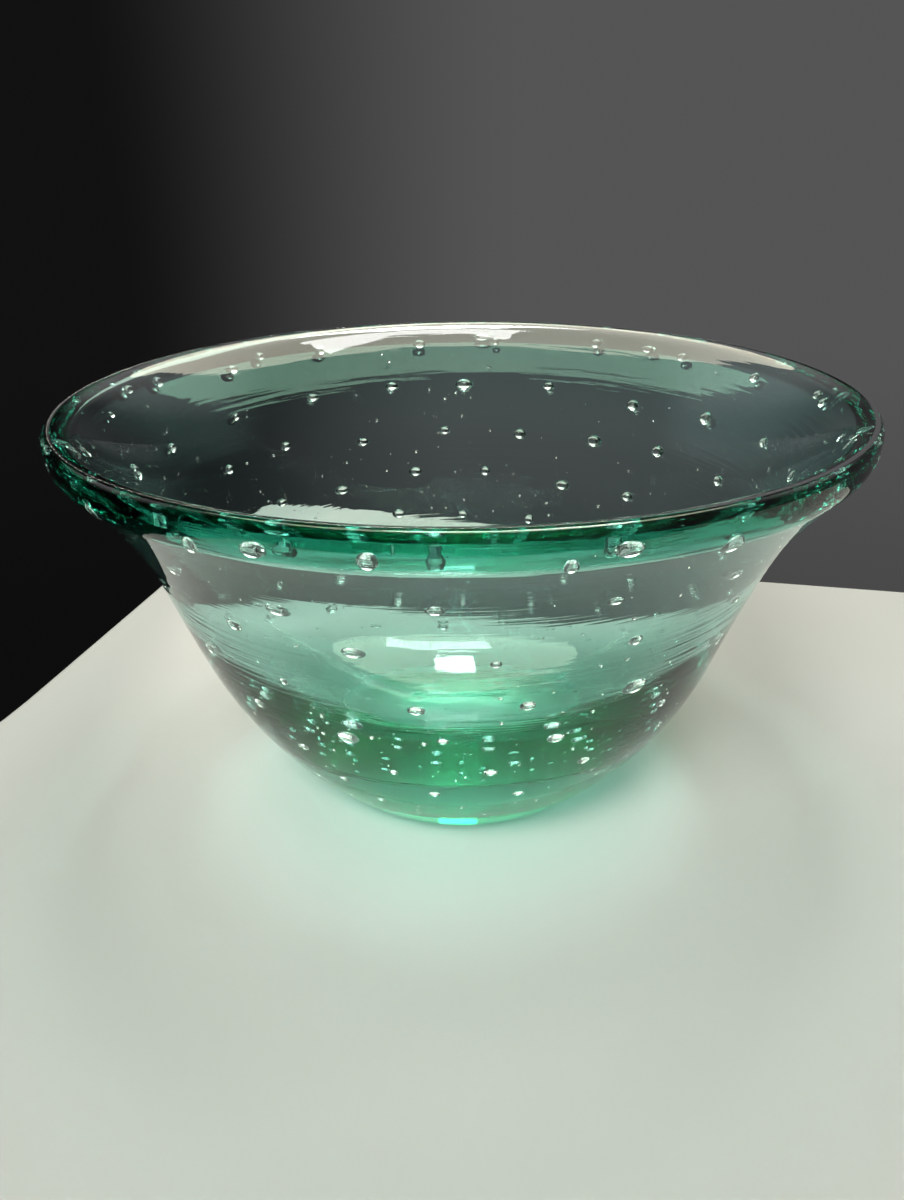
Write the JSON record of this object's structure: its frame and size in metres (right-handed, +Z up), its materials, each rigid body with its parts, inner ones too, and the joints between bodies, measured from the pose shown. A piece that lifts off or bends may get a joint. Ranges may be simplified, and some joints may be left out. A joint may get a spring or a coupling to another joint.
{
  "type": "glass bowl",
  "caption": "Small flared hand-blown glass bowl with rings of trapped air bubbles, a rounded lip and a heavy base that it stands on.",
  "frame": {"origin": "centre of the resting face, under the bowl", "axes": "+Z up along the bowl's axis of revolution, X and Y level"},
  "size_m": [0.16, 0.16, 0.0867],
  "materials": {
    "green_glass": "fire-polished pale emerald glass, deeper green where it is thick"
  },
  "bodies": {
    "root": {"outer_gather": "green_glass", "inner_gather": "green_glass"}
  },
  "joints": []
}
